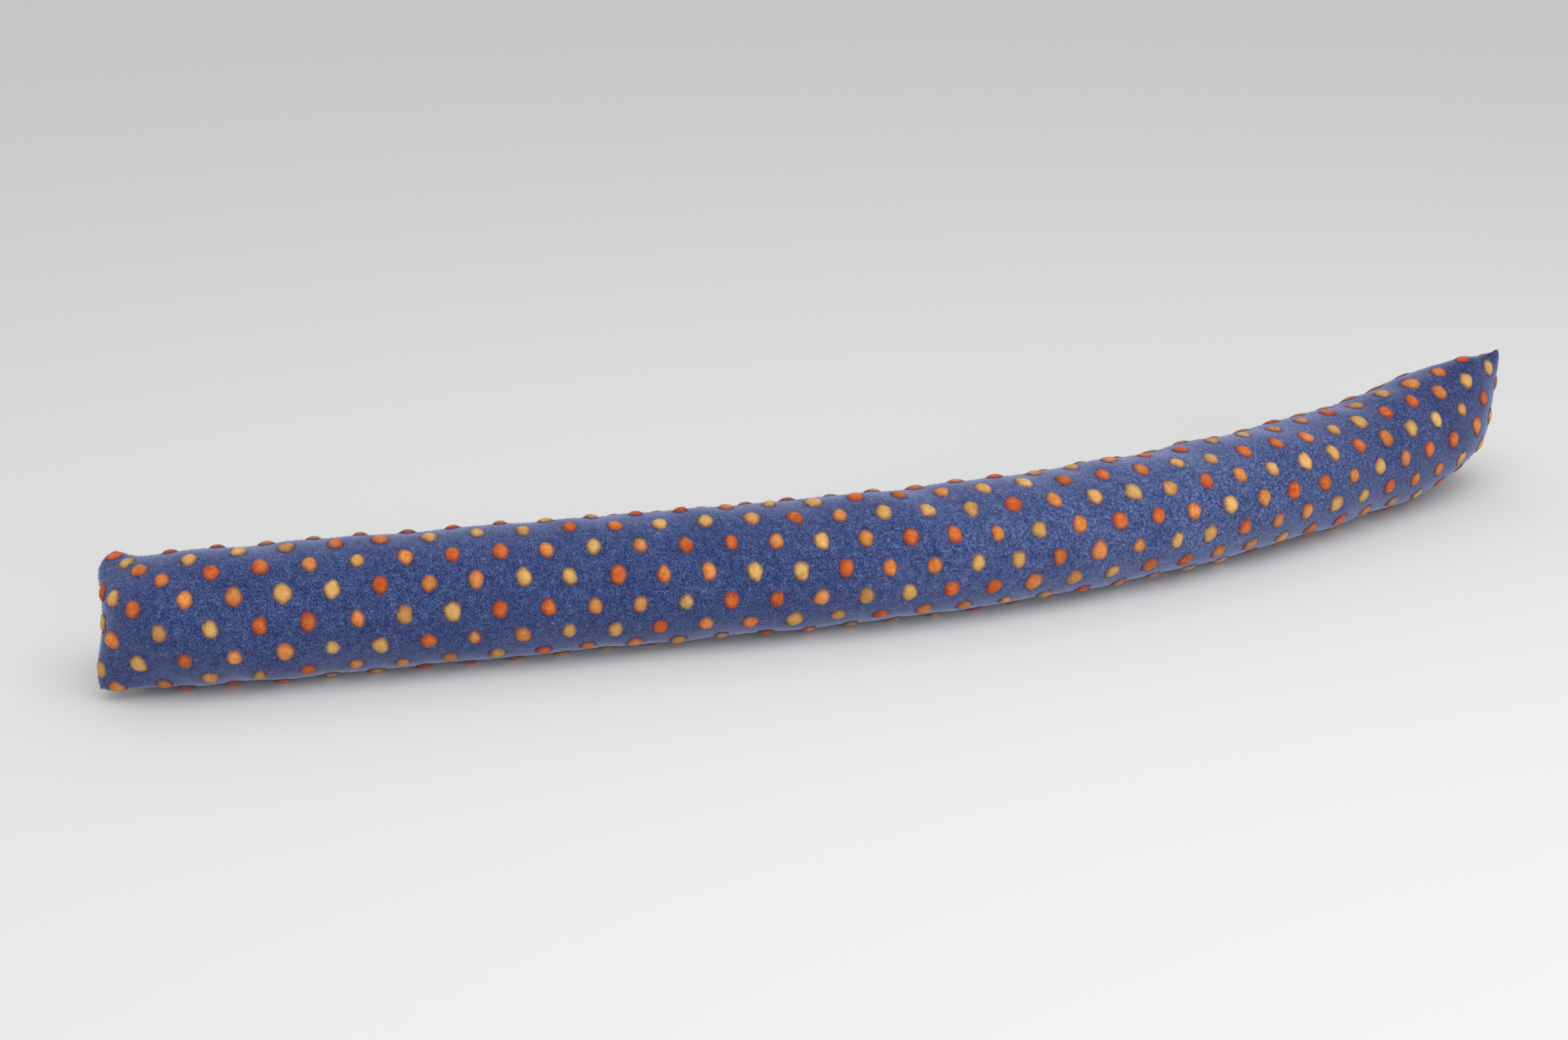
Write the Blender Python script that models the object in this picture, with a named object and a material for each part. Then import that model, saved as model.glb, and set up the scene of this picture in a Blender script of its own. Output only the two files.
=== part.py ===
"""Draught excluder: one cloth tube, filled along its whole length and sewn flat across both ends.

It lies on its underside in a shallow bend, with the cloth turned a little round the
filling from one end to the other.  Metres, +Z up, resting on z = 0.
"""
import bpy
import numpy as np

# Driving dimensions: metres along and across, degrees for angles.
LENGTH = 1.00              # along the tube, between the middles of its end seams
WIDTH = 0.0815             # across the tube where it is full
HEIGHT = 0.0812            # of the same section before it settles
SETTLE = 0.0016            # how far its weight presses the underside flat

BEND = 25.0                # turn of the lying tube, seen from above
BEND_START = 0.34          # where the turn begins and ends, as parts of the length
BEND_END = 0.93

CLOTH_TURN = 47.0          # how far the cloth turns round the filling, end to end
TURN_START = 0.105         # where that turn begins and ends, as parts of the length
TURN_END = 0.82
EAR_LEAN = 16.0            # lean back from upright of the cloth's two folds, halfway along
FIRST_SEAM_LEAN = -7.0     # how much further back the seam at the -X end leans
LAST_SEAM_LEAN = -15.0     # and the one at the +X end
FIRST_SEAM_WIDTH = 1.03    # of the same seams, corner to corner, in widths of the tube
LAST_SEAM_WIDTH = 1.42
FIRST_CORNER = 0.008       # how far the rounding of their upper corners is drawn back
LAST_CORNER = 0.005
CORNER_POWER = 8           # how tight that rounding is

FIRST_CLOSING = 0.060      # length over which the round tube closes to its flat -X seam
LAST_CLOSING = 0.102       # and to its +X seam
CLOSING_POWER = 2.6        # how bluntly it closes: 1 is a wedge, 2 a quarter ellipse
SPREAD_POWER = 1.5         # how late it spreads sideways to the seam: 1 is evenly

SEAM_PLACE = 106.0         # of the long seam round the cloth, from the upper corners
SEAM_HALF_WIDTH = 9.0      # of its channel, in degrees round the cloth
SEAM_DEPTH = 0.0012

RINGS_CLOSING = 11         # rings of points in each closing stretch
RINGS_MIDDLE = 62          # and along the stretch between them
AROUND = 44                # points in a ring, even in number so that the seams meet

CLOTH_COLOUR = (0.062, 0.102, 0.305, 1.0)
CLOTH_ROUGHNESS = 0.95


def clear_scene():
    for item in list(bpy.data.objects):
        bpy.data.objects.remove(item, do_unlink=True)


def rising(value, start, end):
    """Smooth step from 0 at start to 1 at end."""
    part = np.clip((value - start) / (end - start), 0.0, 1.0)
    return part * part * (3.0 - 2.0 * part)


def ring_places():
    """Distances along the tube, close together where it closes and even between."""
    closing_angle = np.linspace(0.0, np.pi / 2, RINGS_CLOSING + 1)[:-1]
    closing = 1.0 - np.cos(closing_angle)
    middle = np.linspace(FIRST_CLOSING, LENGTH - LAST_CLOSING, RINGS_MIDDLE + 1)
    return np.concatenate([FIRST_CLOSING * closing, middle, LENGTH - LAST_CLOSING * closing[::-1]])


def middle_line(places):
    """Plan position and heading of the tube's middle line, its two ends level along X."""
    heading = np.radians(BEND) * rising(places / LENGTH, BEND_START, BEND_END)
    steps = np.diff(places)
    between = (heading[1:] + heading[:-1]) / 2
    x = np.concatenate([[0.0], np.cumsum(steps * np.cos(between))])
    y = np.concatenate([[0.0], np.cumsum(steps * np.sin(between))])
    chord = np.arctan2(y[-1], x[-1])
    along = x * np.cos(chord) + y * np.sin(chord)
    aside = y * np.cos(chord) - x * np.sin(chord)
    return along, aside, heading - chord


def by_end(places, first, last):
    """One value for the -X half of the tube and another for the +X half, as a column."""
    return np.where(places < LENGTH / 2, first, last)[:, None]


def sections(places, cloth_angle):
    """Each ring's points, across and up from the middle line.

    A ring is a circle in the full tube.  In the closing stretch it flattens towards the
    line between the two ears, and its points spread evenly along that line, as the two
    layers of cloth do where they are sewn together.
    """
    from_end = np.minimum(places, LENGTH - places)[:, None]
    opened = np.clip(from_end / by_end(places, FIRST_CLOSING, LAST_CLOSING), 0.0, 1.0)
    fullness = (1.0 - (1.0 - opened) ** CLOSING_POWER) ** (1.0 / CLOSING_POWER)
    closed = (1.0 - opened) ** SPREAD_POWER
    even = 2.0 * np.abs(1.0 - cloth_angle / np.pi) - 1.0
    seam_width = by_end(places, FIRST_SEAM_WIDTH, LAST_SEAM_WIDTH)
    along_seam = closed * seam_width * even + (1.0 - closed) * np.cos(cloth_angle)
    off_seam = fullness * np.sin(cloth_angle)

    from_seam = np.abs(cloth_angle - np.radians(SEAM_PLACE)) / np.radians(SEAM_HALF_WIDTH)
    channel = np.clip(1.0 - from_seam, 0.0, 1.0) * SEAM_DEPTH / (WIDTH / 2)
    along_seam = along_seam * (1.0 - channel)
    off_seam = off_seam * (1.0 - channel)

    turn = CLOTH_TURN * (0.5 - rising(places / LENGTH, TURN_START, TURN_END))[:, None]
    seam_lean = by_end(places, FIRST_SEAM_LEAN, LAST_SEAM_LEAN)
    ear = np.radians(90.0 + EAR_LEAN + turn + seam_lean * closed)
    across = (along_seam * np.cos(ear) - off_seam * np.sin(ear)) * WIDTH / 2
    up = (along_seam * np.sin(ear) + off_seam * np.cos(ear)) * HEIGHT / 2
    return across, up, closed


def cover_points():
    """The filled cover as a grid of points: one row a ring, one column a line of cloth."""
    places = ring_places()
    cloth_angle = np.linspace(0.0, 2 * np.pi, AROUND, endpoint=False)
    along, aside, heading = middle_line(places)
    across, up, closed = sections(places, cloth_angle)

    middle_height = np.maximum(-up.min(axis=1, keepdims=True), HEIGHT / 2)
    height = np.maximum(up + middle_height - SETTLE * (1.0 - closed), 0.0)

    outward = by_end(places, -1.0, 1.0)
    upper_ear = np.maximum(np.cos(cloth_angle), 0.0)
    corner = by_end(places, FIRST_CORNER, LAST_CORNER) * upper_ear ** CORNER_POWER
    reach = -outward * corner * closed
    cos_heading = np.cos(heading)[:, None]
    sin_heading = np.sin(heading)[:, None]
    x = along[:, None] + across * sin_heading + reach * cos_heading
    y = aside[:, None] - across * cos_heading + reach * sin_heading
    points = np.stack([x, y, height], axis=-1)

    lowest = points.min(axis=(0, 1))
    highest = points.max(axis=(0, 1))
    points[..., :2] -= (lowest[:2] + highest[:2]) / 2
    return points


def cover_mesh(points):
    """A closed mesh of the grid, with the two layers of each end seam sharing its points."""
    rings = len(points)
    inner = points[1:-1].reshape(-1, 3)
    half = AROUND // 2
    seams = [points[0, :half + 1], points[-1, :half + 1]]
    vertices = np.concatenate([inner, *seams])

    column = np.arange(AROUND)
    folded = np.minimum(column, AROUND - column)
    index = np.empty((rings, AROUND), dtype=int)
    index[1:-1] = np.arange(len(inner)).reshape(rings - 2, AROUND)
    index[0] = len(inner) + folded
    index[-1] = len(inner) + half + 1 + folded

    onward = np.roll(index, -1, axis=1)
    quads = np.stack([index[:-1], index[1:], onward[1:], onward[:-1]], axis=-1)
    mesh = bpy.data.meshes.new("filled_cover")
    mesh.from_pydata(vertices.tolist(), [], quads.reshape(-1, 4).tolist())
    mesh.shade_smooth()
    return mesh


def cloth_material():
    material = bpy.data.materials.new("wool_cloth")
    material.use_nodes = True
    surface = material.node_tree.nodes["Principled BSDF"]
    surface.inputs["Base Color"].default_value = CLOTH_COLOUR
    surface.inputs["Roughness"].default_value = CLOTH_ROUGHNESS
    surface.inputs["Metallic"].default_value = 0.0
    return material


clear_scene()
cover = bpy.data.objects.new("filled_cover", cover_mesh(cover_points()))
cover.data.materials.append(cloth_material())
bpy.context.scene.collection.objects.link(cover)
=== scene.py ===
"""Looks of a draught excluder: a filled tube of felted blue wool with raised felt dots.

The pieces follow the object as it is made: the filled cover, the felted dots on it, and
the nap of loose fibres over both.  Metres, +Z up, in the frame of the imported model.
"""

import math

import bpy
import numpy as np
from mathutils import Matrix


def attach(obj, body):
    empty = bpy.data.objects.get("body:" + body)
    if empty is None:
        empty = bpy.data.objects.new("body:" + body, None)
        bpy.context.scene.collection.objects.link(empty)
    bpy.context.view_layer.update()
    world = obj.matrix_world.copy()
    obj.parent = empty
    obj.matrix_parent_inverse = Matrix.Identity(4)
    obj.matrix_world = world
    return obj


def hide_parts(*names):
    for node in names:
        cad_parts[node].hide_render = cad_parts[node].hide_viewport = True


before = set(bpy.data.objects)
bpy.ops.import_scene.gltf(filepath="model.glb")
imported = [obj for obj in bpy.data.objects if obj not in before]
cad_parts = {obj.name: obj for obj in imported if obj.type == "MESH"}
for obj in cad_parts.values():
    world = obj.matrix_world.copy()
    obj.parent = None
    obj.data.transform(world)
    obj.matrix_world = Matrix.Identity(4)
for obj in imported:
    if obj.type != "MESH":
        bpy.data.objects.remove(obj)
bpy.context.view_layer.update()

# --- The camera
# It stands in front of the left end, a little above the object, and looks down and to the
# right along it.
CAMERA_PLACE = (-0.516, -1.110, 0.549)
CAMERA_TILT = 67.75  # from straight down
CAMERA_TURN = -21.54

camera_data = bpy.data.cameras.new("camera")
camera_data.lens = 46.64
camera_data.sensor_fit = "HORIZONTAL"
camera_data.sensor_width = 36.0
camera_data.clip_start = 0.05
camera = bpy.data.objects.new("camera", camera_data)
camera.location = CAMERA_PLACE
camera.rotation_euler = (math.radians(CAMERA_TILT), 0.0, math.radians(CAMERA_TURN))
bpy.context.scene.collection.objects.link(camera)
bpy.context.scene.camera = camera

# --- The filled cover
# A length of fulled wool knit, sewn into a tube with one long seam low at the back, filled
# full, and sewn flat across both ends.  The filling presses it into soft lumps, and the
# sewing draws it into small gathers.
LENGTH = 1.00  # along the tube, between the middles of its end seams
WIDTH = 0.0815  # across the tube where it is full
HEIGHT = 0.0812  # of the same section before it settles
SETTLE = 0.0016  # how far its weight presses the underside flat
RADIUS = (WIDTH + HEIGHT) / 4
BEND = 25.0  # turn of the lying tube, seen from above
BENDING = (0.34, 0.93)  # where it begins and ends, in parts of the length
CLOTH_TURN = 47.0  # how far the cloth turns round the filling, end to end
TURNING = (0.105, 0.82)  # where that begins and ends
EAR_LEAN = 16.0  # lean back from upright of the cloth's two folds, halfway along
# Pairs are for the seam at the -X end and the one at the +X end.
SEAM_LEANS = (-7.0, -15.0)  # how much further back it leans
SEAM_WIDTHS = (1.03, 1.42)  # corner to corner, in widths of the tube
SEAM_FOLDS = (12.0, 0.0)  # where the cloth folds at its top, in degrees
CORNERS = (0.010, 0.009)  # how far the rounding of its upper corner is drawn back
CORNERS_DEEP = (0.40, 0.20)  # how far down it that runs, in halves of its height
# How far it bows out, in mm, from its foot (-1) to its top (1).
FIRST_LINE = ((-1.0, 0.0), (-0.6, 2.2), (-0.1, -1.8), (0.6, -1.2), (1.0, -2.0))
LAST_LINE = ((-1.0, -1.5), (-0.5, -1.5), (0.0, -2.0), (1.0, -2.0))
LAST_SHOULDER = 0.230  # how much fuller the top is near the +X seam, in half widths
SHOULDER_RISE = (0.002, 0.035)  # where that begins and is full, in metres from the seam
SHOULDER_FALL = (0.08, 0.15)  # and where it fades
FIRST_LIFT = 0.0025  # of the lower corner of the -X seam off the floor
LAST_LIFT = 0.0070  # and of the +X seam's
LIFT_FALL = (0.01, 0.12)  # where the latter fades, in metres from the seam
MIDDLE = (0.49263, -0.04313, 0.0)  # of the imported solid's box, from the start of the line
CLOSINGS = (0.060, 0.102)  # length over which the round tube closes to its flat end seams
CLOSING_POWER = 2.6  # how bluntly it closes: 1 is a wedge, 2 a quarter ellipse
FOLD_SHARP = 0.06  # rounding of the cloth's folds at the seams, in radians
FOLD_SOFT = 0.30  # and where the tube is full
SPREAD_POWER = 1.5  # how late it spreads sideways to the seam: 1 is evenly
UNDER_DOTS = 0.0013  # height at which the dots under it hold the cloth off the floor

RINGS = 608  # steps between the rings of points along the cover
CLOSING_RINGS = 70  # of them where each end closes
AROUND = 150  # points in a ring
SEAM_PLACE = 105.6  # of the long seam, in degrees round the cloth from its upper fold
SEAM_DEPTH = 0.0016
SEAM_HALF_WIDTH = 0.0022
STITCH_PITCH = 0.0045
STITCH_PUCKER = 0.25  # how much deeper the channel is at a stitch
LUMP_HEIGHT = 0.000588  # of the soft lumps that the filling makes
LUMPS = 16  # waves that are summed to make them
LUMP_LENGTHS = (0.030, 0.110)
LUMP_TURNS = 5  # a wave runs round the tube fewer times than this
GATHER_HEIGHT = 0.0003  # of the gathers beside the end seams
GATHER_REACH = 0.009  # how far they run in from the seam
GATHER_PITCH = 0.0085
GATHER_SWAY = (1.7, 0.011)  # how uneven they are, and over what length
RELIEF_START = 0.004  # over this the relief rises from nothing at an end seam
SLOPE_STEP = 0.0005  # over which slopes are taken
LEAST_STEP = 1e-5  # keeps slopes off the very ends, where the shape folds over


def rising(value, start, end):
    """Smooth step from 0 at start to 1 at end."""
    part = np.clip((value - start) / (end - start), 0.0, 1.0)
    return part * part * (3.0 - 2.0 * part)


def by_end(place, first, last):
    """A size that differs between the -X half and the +X half."""
    return np.where(place < LENGTH / 2, first, last)


def middle_line(place):
    """The line through the tube's middle: its heading rises smoothly by BEND, and steps
    along the mean heading are added up, then turned so that both ends lie on one line."""
    heading = np.radians(BEND) * rising(place / LENGTH, *BENDING)
    steps = np.diff(place)
    between = (heading[1:] + heading[:-1]) / 2
    x = np.concatenate([[0.0], np.cumsum(steps * np.cos(between))])
    y = np.concatenate([[0.0], np.cumsum(steps * np.sin(between))])
    chord = np.arctan2(y[-1], x[-1])
    along = x * np.cos(chord) + y * np.sin(chord)
    aside = y * np.cos(chord) - x * np.sin(chord)
    return along, aside, heading - chord


def section(place, angle):
    """Across and up from the tube's middle: an oval whose thickness falls to nothing at
    the seam as it spreads evenly along it, fuller at the top near the +X seam.  Also how
    closed it is, and how far up the seam each spot ends, -1 to 1."""
    from_end = np.minimum(place, LENGTH - place)
    opened = np.clip(from_end / by_end(place, *CLOSINGS), 0.0, 1.0)
    fullness = (1.0 - (1.0 - opened) ** CLOSING_POWER) ** (1.0 / CLOSING_POWER)
    closed = (1.0 - opened) ** SPREAD_POWER
    angle = angle - np.radians(by_end(place, *SEAM_FOLDS)) * closed
    soft = FOLD_SHARP + (FOLD_SOFT - FOLD_SHARP) * (1.0 - closed)
    off_fold = np.pi - np.abs(np.pi - angle % (2 * np.pi))
    off_fold = off_fold + soft * (np.exp(-off_fold / soft) - np.exp((off_fold - np.pi) / soft))
    even = 1.0 - 2.0 * off_fold / np.pi
    seam_width = by_end(place, *SEAM_WIDTHS)
    along_seam = closed * seam_width * even + (1.0 - closed) * np.cos(angle)
    to_last = LENGTH - place
    shoulder = rising(to_last, *SHOULDER_RISE) * (1.0 - rising(to_last, *SHOULDER_FALL))
    upper = np.maximum(np.cos(angle), 0.0)
    along_seam = along_seam + LAST_SHOULDER * shoulder * upper ** 4
    off_seam = fullness * np.sin(angle)
    turn = CLOTH_TURN * (0.5 - rising(place / LENGTH, *TURNING))
    seam_lean = by_end(place, *SEAM_LEANS)
    ear = np.radians(90.0 + EAR_LEAN + turn + seam_lean * closed)
    across = (along_seam * np.cos(ear) - off_seam * np.sin(ear)) * WIDTH / 2
    up = (along_seam * np.sin(ear) + off_seam * np.cos(ear)) * HEIGHT / 2
    return across, up, closed, (even + 2.0 * soft / np.pi).clip(-1.0, 1.0)


def seam_bow(line, even):
    """How far an end seam bows outward: a smooth curve through the points of its line."""
    heights, bows = np.array(line).T
    return np.polyval(np.polyfit(heights, bows / 1000.0, len(line) - 1), even)


STATIONS = 1601  # points of the middle line
HEIGHT_ANGLES = 180  # round each, where the section's lowest point is sought
stations = LENGTH * (1.0 - np.cos(np.linspace(0.0, np.pi, STATIONS))) / 2
line_along, line_aside, line_heading = middle_line(stations)
ring_angles = np.linspace(0.0, 2 * np.pi, HEIGHT_ANGLES, endpoint=False)
_, ring_up, _, _ = section(stations[:, None], ring_angles[None, :])
line_height = np.maximum(-ring_up.min(axis=1), HEIGHT / 2)


def unplaced_form(place, angle):
    """The section set square to the middle line, on its lowest point and a little settled,
    with the lower corners of the end seams lifted, the seams bowed and their upper corners
    drawn back along a quarter of an ellipse."""
    across, up, closed, even = section(place, angle)
    along = np.interp(place, stations, line_along)
    aside = np.interp(place, stations, line_aside)
    heading = np.interp(place, stations, line_heading)
    height = up + np.interp(place, stations, line_height) - SETTLE * (1.0 - closed)
    lower = np.clip(-up / (HEIGHT / 2), 0.0, 1.3) * (1.0 - rising(LENGTH - place, *LIFT_FALL))
    height = height + by_end(place, FIRST_LIFT * closed ** 3, LAST_LIFT * lower)
    deep = by_end(place, *CORNERS_DEEP)
    upper = np.clip((even - 1.0 + deep) / deep, 0.0, 1.0)
    corner = by_end(place, *CORNERS) * (1.0 - np.sqrt(1.0 - upper ** 2))
    bow = by_end(place, seam_bow(FIRST_LINE, even), seam_bow(LAST_LINE, even))
    reach = by_end(place, -1.0, 1.0) * (bow - corner) * closed ** 1.5
    x = along + across * np.sin(heading) + reach * np.cos(heading)
    y = aside - across * np.cos(heading) + reach * np.sin(heading)
    return np.stack([x, y, np.maximum(height, UNDER_DOTS)], axis=-1)


def form(place, angle):
    """The filled shape without lumps or gathers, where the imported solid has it."""
    return unplaced_form(place, angle) - np.array(MIDDLE)


def unit(vectors):
    return vectors / np.maximum(np.linalg.norm(vectors, axis=-1, keepdims=True), 1e-12)


def outward(shape, place, angle):
    """Unit normals of a shape: the step along it crossed with the step round it."""
    step = SLOPE_STEP
    inner = np.clip(place, step + LEAST_STEP, LENGTH - step - LEAST_STEP)
    along = shape(inner + step, angle) - shape(inner - step, angle)
    turn = step / RADIUS
    about = shape(inner, angle + turn) - shape(inner, angle - turn)
    return unit(np.cross(along, about))


def mesh_object(name, points, faces, per_face):
    """A mesh from whole arrays: points, and faces with the same number of corners."""
    mesh = bpy.data.meshes.new(name)
    mesh.vertices.add(len(points))
    mesh.vertices.foreach_set("co", np.asarray(points, np.float32).ravel())
    mesh.loops.add(faces.size)
    mesh.loops.foreach_set("vertex_index", faces.astype(np.int32).ravel())
    mesh.polygons.add(len(faces))
    mesh.polygons.foreach_set("loop_start", np.arange(len(faces), dtype=np.int32) * per_face)
    mesh.polygons.foreach_set("use_smooth", np.full(len(faces), True))
    mesh.update(calc_edges=True)
    made = bpy.data.objects.new(name, mesh)
    bpy.context.scene.collection.objects.link(made)
    return made


def tube_faces(number):
    """Faces of four corners over a grid of point numbers that closes round the tube."""
    beside = np.roll(number, -1, axis=1)
    return np.stack([number[:-1], number[1:], beside[1:], beside[:-1]], -1).reshape(-1, 4)


SIM_ROWS = 208  # points of the simulated cloth along the tube, about 5 mm apart
SIM_COLUMNS = 54  # and round it
SIM_FRAMES = 20
FILLING_PRESSURE = 4.0
POINT_MASS = 0.0004  # kilograms of each of its points
LARGEST_MOVE = 0.0015  # no point of it moves further than this
sim_places = np.linspace(0.0, LENGTH, SIM_ROWS)


def filled_out():
    """How far off the form the filling pushes the cloth, on a grid of places and angles.
    A coarse copy of the form, held at both end seams, is blown up by Blender's cloth
    simulation without gravity.  Its moves along the form's normals are kept, less their
    mean, and capped."""
    angles = 2 * np.pi * np.arange(SIM_COLUMNS) / SIM_COLUMNS
    start = form(sim_places[:, None], angles[None, :])
    number = np.arange(SIM_ROWS * SIM_COLUMNS).reshape(SIM_ROWS, SIM_COLUMNS)
    copy = mesh_object("cloth_copy", start.reshape(-1, 3), tube_faces(number), 4)
    held = copy.vertex_groups.new(name="sewn")
    held.add(np.concatenate([number[:2], number[-2:]]).ravel().tolist(), 1.0, "REPLACE")
    modifier = copy.modifiers.new("filling", "CLOTH")
    modifier.settings.vertex_group_mass = "sewn"
    modifier.settings.mass = POINT_MASS
    modifier.settings.use_pressure = True
    modifier.settings.uniform_pressure_force = FILLING_PRESSURE
    modifier.settings.effector_weights.gravity = 0.0
    for number_of_frame in range(1, SIM_FRAMES + 1):
        bpy.context.scene.frame_set(number_of_frame)
    blown = copy.evaluated_get(bpy.context.evaluated_depsgraph_get())
    ends = np.empty(start.size, np.float32)
    blown.data.vertices.foreach_get("co", ends)
    bpy.context.scene.frame_set(1)
    mesh = copy.data
    bpy.data.objects.remove(copy)
    bpy.data.meshes.remove(mesh)
    normals = outward(form, sim_places[:, None], angles[None, :])
    moves = ((ends.reshape(start.shape) - start) * normals).sum(-1)
    return np.clip(moves - moves.mean(), -LARGEST_MOVE, LARGEST_MOVE)


filling_moves = filled_out()


def between_points(grid, row, column):
    """The value of a grid at any spot: a cubic B-spline through it, four points by four.
    Its columns go once round the tube."""
    last = len(grid) - 1
    row = np.clip(row, 0.0, last)
    first_row, first_column = np.floor(row).astype(int), np.floor(column).astype(int)
    weights = []
    for part in (row - first_row, column - first_column):
        weights.append(((1 - part) ** 3 / 6, (3 * part ** 3 - 6 * part ** 2 + 4) / 6,
                        (1 + 3 * part + 3 * part ** 2 - 3 * part ** 3) / 6, part ** 3 / 6))
    total = 0.0
    for i in range(4):
        for j in range(4):
            rows = np.clip(first_row + i - 1, 0, last)
            columns = (first_column + j - 1) % grid.shape[1]
            total = total + weights[0][i] * weights[1][j] * grid[rows, columns]
    return total


def filling_move(place, angle):
    """The simulated move at any spot of the cloth."""
    return between_points(filling_moves, place / LENGTH * (SIM_ROWS - 1),
                          angle / (2 * np.pi) * SIM_COLUMNS)


END_PART = 0.11  # of the length, at each end, where the cloth turns in to its seam
END_ROWS = 160
END_COLUMNS = 72
end_places = END_PART * np.linspace(0.0, 1.0, END_ROWS) ** 2
end_angles = 2 * np.pi * np.arange(END_COLUMNS) / END_COLUMNS


def cloth_from_seam(places):
    """Distance on the cloth from an end seam to each of the places: steps on the form,
    added up from the seam inward."""
    points = form(places[:, None], end_angles[None, :])
    steps = np.linalg.norm(np.diff(points, axis=0), axis=-1)
    return np.concatenate([np.zeros((1, END_COLUMNS)), np.cumsum(steps, axis=0)])


first_cloth, last_cloth = cloth_from_seam(end_places), cloth_from_seam(LENGTH - end_places)
end_extras = [part[-1] - part - (END_PART - end_places[:, None])
              for part in (first_cloth, last_cloth)]


def cloth_place(place, angle):
    """Place measured on the cloth: at the ends it runs on past the place along the tube by
    the cloth that turns in."""
    from_end = np.minimum(place, LENGTH - place)
    row = np.sqrt(from_end / END_PART) * (END_ROWS - 1)
    column = angle / (2 * np.pi) * END_COLUMNS
    first, last = (between_points(extra, row, column) for extra in end_extras)
    return place + by_end(place, -first, last)


def from_seam_on_cloth(place, angle):
    """Distance on the cloth from the nearer end seam."""
    near = by_end(place, 0.0, LENGTH)
    return np.abs(cloth_place(place, angle) - cloth_place(near, angle))


chance = np.random.default_rng(11)
lump_length = chance.uniform(*LUMP_LENGTHS, LUMPS)
lump_round = chance.integers(0, LUMP_TURNS, LUMPS)
lump_start = chance.uniform(0.0, 2 * np.pi, LUMPS)
lump_share = lump_length / lump_length.sum() * math.sqrt(LUMPS)


def relief(place, angle):
    """How far the cloth stands off the form: a sum of long sine waves for the filling's
    lumps, less a bell-shaped channel at the long seam, plus ripples that die out as an
    exponential from the end seams, plus the simulated move."""
    waves = np.zeros(np.broadcast(place, angle).shape)
    for length, turns, start, share in zip(lump_length, lump_round, lump_start, lump_share):
        waves += share * np.sin(2 * np.pi * place / length + turns * angle + start)
    from_end = np.minimum(place, LENGTH - place)
    from_seam = (angle - math.radians(SEAM_PLACE) + np.pi) % (2 * np.pi) - np.pi
    bell = np.exp(-((from_seam * RADIUS / SEAM_HALF_WIDTH) ** 2))
    pucker = 1.0 + STITCH_PUCKER * np.sin(2 * np.pi * place / STITCH_PITCH)
    folded = np.abs((angle + np.pi) % (2 * np.pi) - np.pi) * RADIUS
    sway = GATHER_SWAY[0] * np.sin(folded / GATHER_SWAY[1])
    ripple = np.sin(2 * np.pi * folded / GATHER_PITCH + sway)
    gather = GATHER_HEIGHT * ripple * np.exp(-from_end / GATHER_REACH)
    raised = LUMP_HEIGHT * waves - SEAM_DEPTH * bell * pucker + gather
    raised = raised + filling_move(place, angle)
    return raised * rising(from_end, 0.0, RELIEF_START)


def cloth(place, angle):
    """The cover's own surface: the form moved along its normals by its relief."""
    moved = form(place, angle)
    moved = moved + outward(form, place, angle) * relief(place, angle)[..., None]
    moved[..., 2] = np.maximum(moved[..., 2], UNDER_DOTS)
    return moved


def ring_places():
    """Rings close together where the tube closes, by a cosine, and even between."""
    closing = 1.0 - np.cos(np.linspace(0.0, np.pi / 2, CLOSING_RINGS, endpoint=False))
    first = CLOSINGS[0] * closing
    last = LENGTH - CLOSINGS[1] * closing[::-1]
    steps = RINGS - 2 * CLOSING_RINGS
    between = np.linspace(CLOSINGS[0], LENGTH - CLOSINGS[1], steps + 1)
    return np.concatenate([first, between, last])


def add_map(made, along_round):
    """The UV map named cloth: metres along the cloth and round it, one row a corner."""
    layer = made.data.uv_layers.new(name="cloth")
    layer.uv.foreach_set("vector", np.asarray(along_round, np.float32).ravel())


places = ring_places()
column_turn = 2 * np.pi / AROUND
column = np.arange(AROUND)
column_angle = math.radians(SEAM_PLACE) + column * column_turn
cover_points = cloth(places[:, None], column_angle[None, :])
last_ring = len(places) - 1
point_number = np.arange(len(places) * AROUND).reshape(len(places), AROUND)
for ring, fold in zip((0, last_ring), SEAM_FOLDS):
    mirror = round(2 * (SEAM_PLACE - fold) / 360.0 * AROUND)
    partner = (-mirror - column) % AROUND
    point_number[ring] = point_number[ring][np.minimum(column, partner)]
used, cover_faces = np.unique(tube_faces(point_number), return_inverse=True)
cover = mesh_object("knit_cover", cover_points.reshape(-1, 3)[used],
                    cover_faces.reshape(-1, 4), 4)
corner_ring = np.arange(last_ring)[:, None, None] + np.array([0, 1, 1, 0])
corner_column = column[:, None] + np.array([0, 0, 1, 1])
corner_along = cloth_place(places[corner_ring], column_angle[corner_column % AROUND])
corner_round = np.broadcast_to(corner_column * column_turn * RADIUS, corner_along.shape)
add_map(cover, np.stack([corner_along, corner_round], -1).reshape(-1, 2))


def tone(red, green, blue):
    """A colour given as it looks on a screen, 0 to 255, as the shader's linear colour."""
    part = np.array([red, green, blue]) / 255.0
    linear = np.where(part <= 0.04045, part / 12.92, ((part + 0.055) / 1.055) ** 2.4)
    return (*linear.tolist(), 1.0)


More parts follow.
